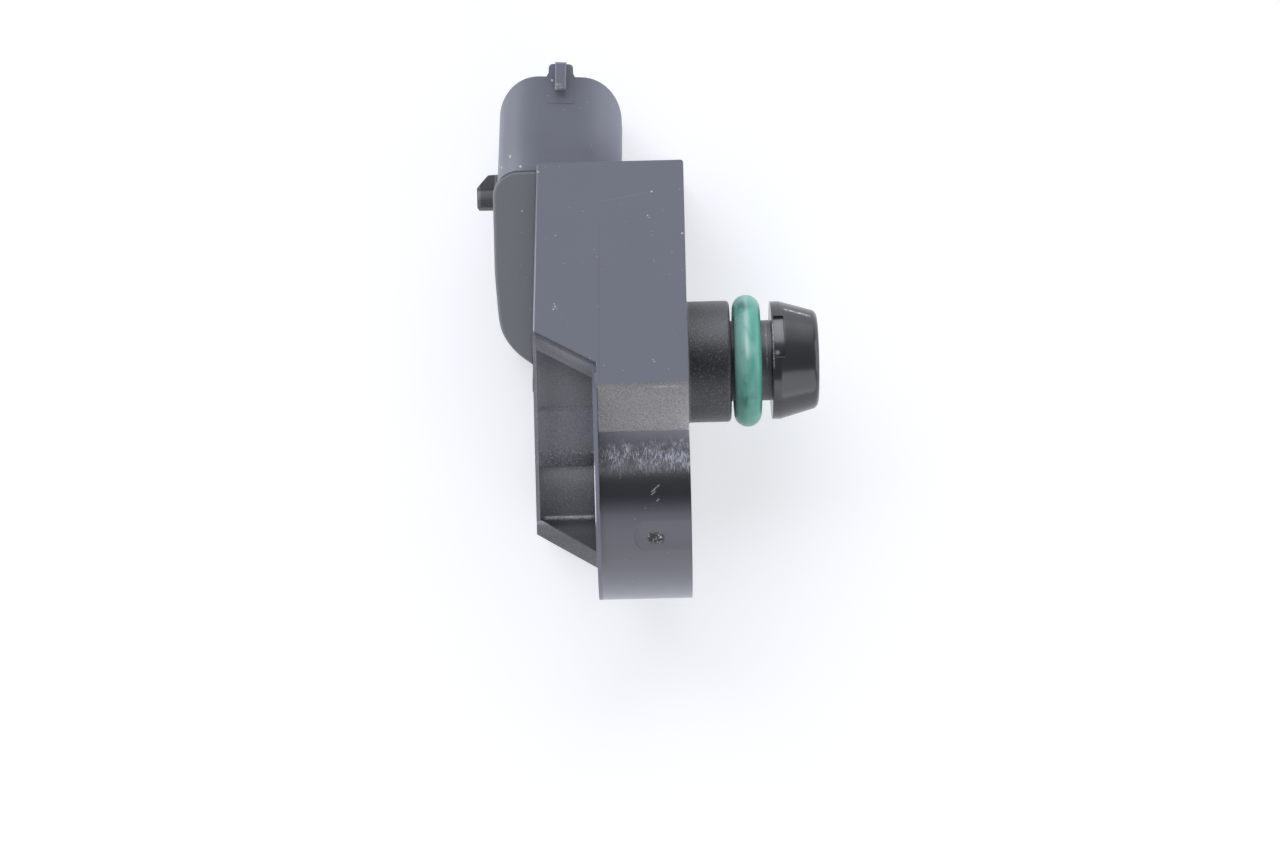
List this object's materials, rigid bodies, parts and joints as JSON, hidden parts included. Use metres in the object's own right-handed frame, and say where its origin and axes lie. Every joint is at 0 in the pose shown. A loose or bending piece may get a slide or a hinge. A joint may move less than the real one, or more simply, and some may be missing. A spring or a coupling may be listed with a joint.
{
  "type": "air pressure sensor",
  "caption": "Intake manifold air pressure sensor: moulded body with a sealed port, a screw ear with a metal bushing and a plug collar.",
  "frame": {"origin": "on the port axis, in the plane of the mounting face", "axes": "+X out of the port along its axis, +Y towards the plug opening, +Z across the body, up as it lies on its side"},
  "size_m": [0.0325, 0.0512, 0.02],
  "materials": {
    "body_plastic": "fine moulded grain",
    "cover_plastic": "smooth satin",
    "seal_rubber": "smooth",
    "bushing_steel": "turned",
    "terminal_metal": "tinned",
    "plate_ceramic": "matt",
    "bead_silicone": "satin",
    "track_metal": "thin print",
    "solder_metal": "satin",
    "base_glass": "clear",
    "chip_silicon": "polished",
    "cap_metal": "satin",
    "wire_metal": "drawn",
    "capacitor_ceramic": "matt",
    "resistor_ceramic": "matt"
  },
  "bodies": {
    "root": {"housing": "body_plastic", "cover": "cover_plastic", "port_o_ring": "seal_rubber", "mounting_bushing": "bushing_steel", "cover_adhesive": "bead_silicone", "supply_terminal": "terminal_metal", "signal_terminal": "terminal_metal", "ground_terminal": "terminal_metal", "ceramic_substrate": "plate_ceramic", "substrate_adhesive": "bead_silicone", "substrate_tracks": "track_metal", "cell_solder_ring": "solder_metal", "cell_glass_base": "base_glass", "sensor_chip": "chip_silicon", "reference_cap": "cap_metal", "evaluation_chip": "chip_silicon", "filter_capacitors": "capacitor_ceramic", "trim_resistors": "resistor_ceramic", "chip_bond_wires": "wire_metal", "evaluation_bond_wires": "wire_metal", "terminal_bond_wires": "wire_metal"}
  },
  "joints": []
}
